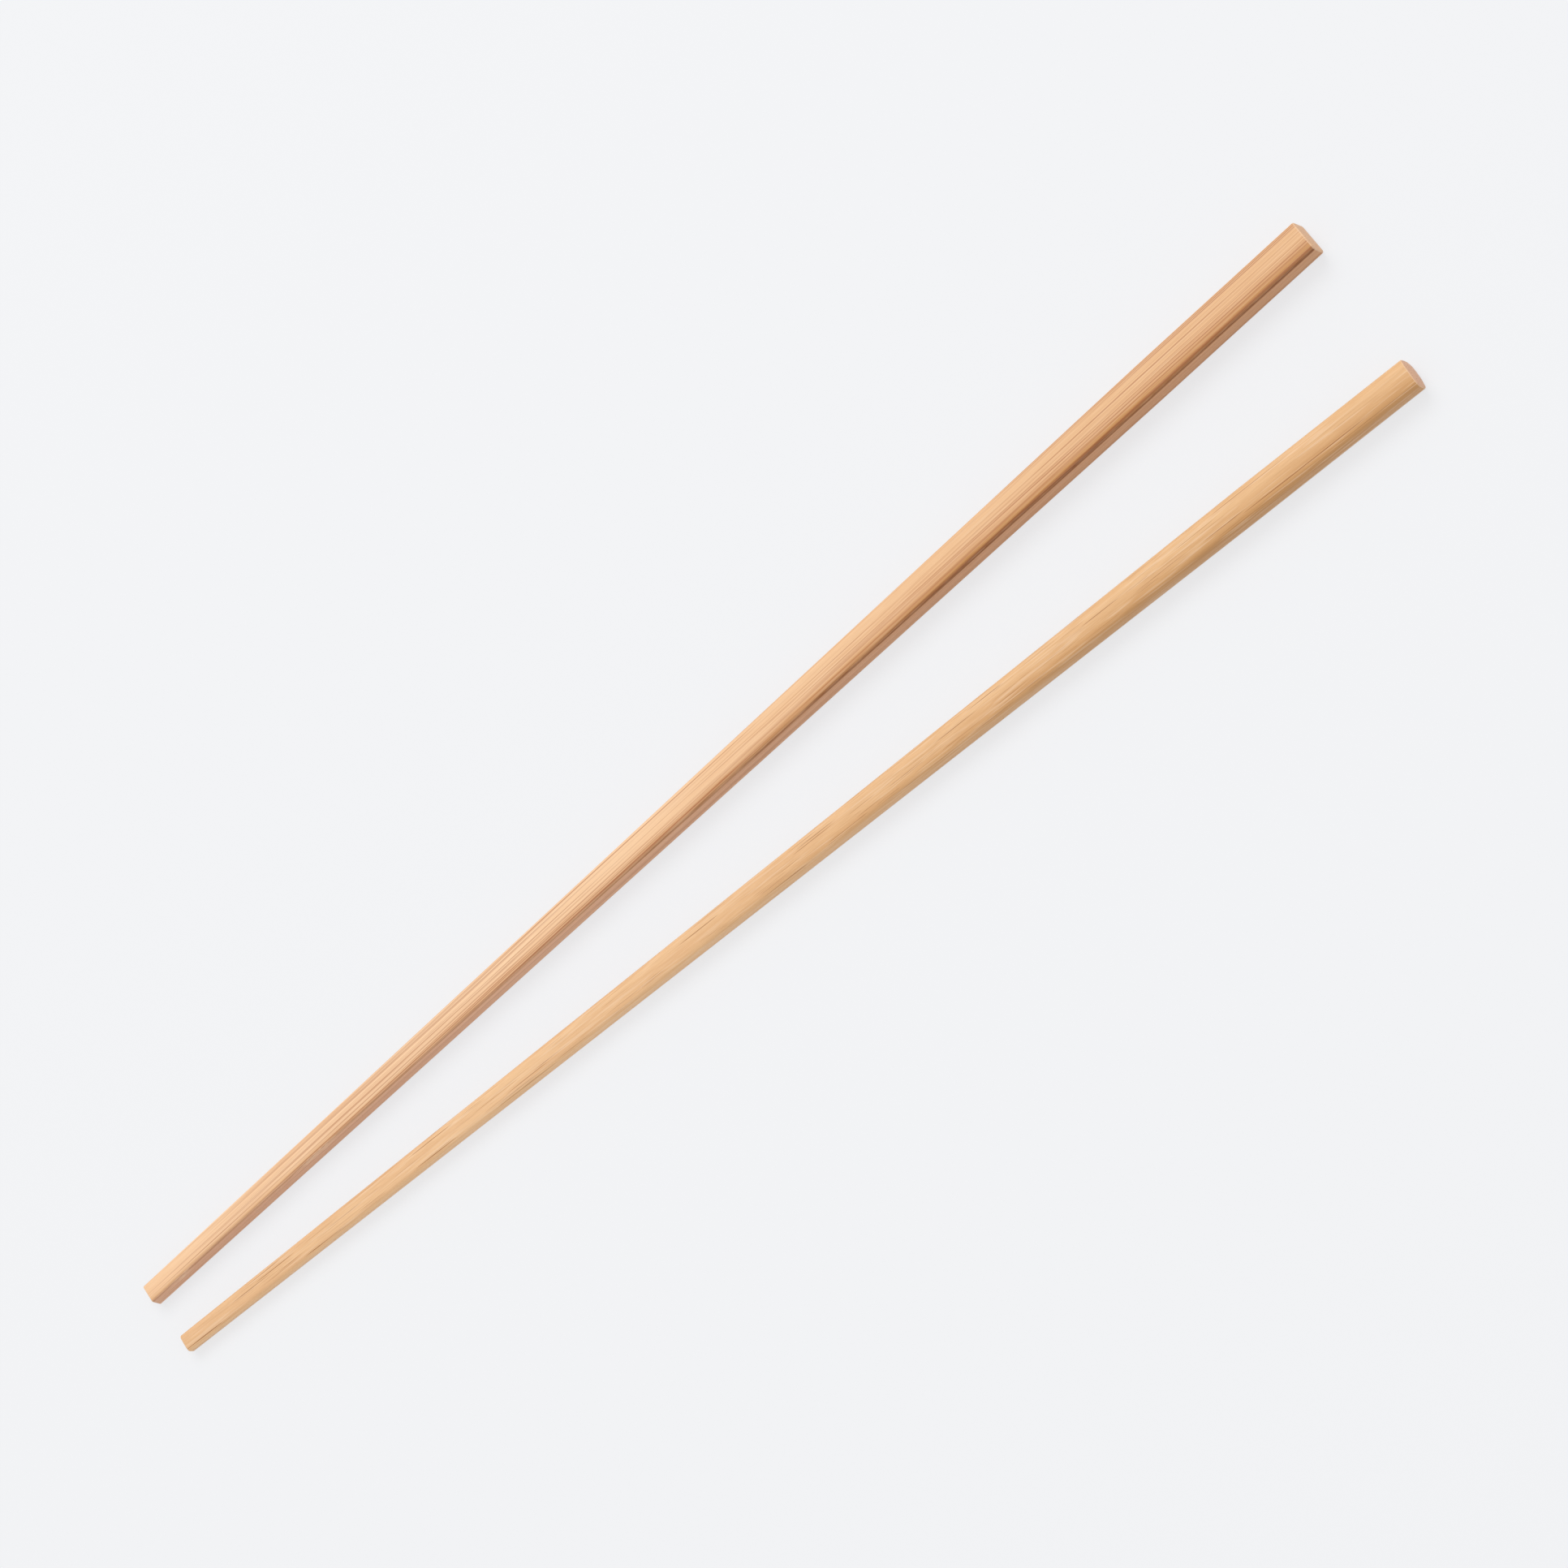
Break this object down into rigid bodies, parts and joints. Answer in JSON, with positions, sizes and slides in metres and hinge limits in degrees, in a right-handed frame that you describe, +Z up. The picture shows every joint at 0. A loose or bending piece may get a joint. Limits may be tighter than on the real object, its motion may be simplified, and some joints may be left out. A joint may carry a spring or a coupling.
{
  "type": "pair of chopsticks",
  "caption": "Pair of squared bamboo chopsticks that taper to their tips, lying side by side with the tips close and the grips spread.",
  "frame": {"origin": "on the surface that the pair lies on, under the middle of the pair's bounding box", "axes": "+X from the tips to the grip ends along the middle of the pair, +Y towards the upper chopstick, +Z up"},
  "size_m": [0.24, 0.0314, 0.0054],
  "materials": {
    "grained_bamboo": "bare, lightly sanded, with fine dark fibre lines along the stick",
    "smooth_bamboo": "bare, smoothly sanded, with short faint streaks along the stick"
  },
  "bodies": {
    "root": {"upper_chopstick": "grained_bamboo", "lower_chopstick": "smooth_bamboo"}
  },
  "joints": []
}
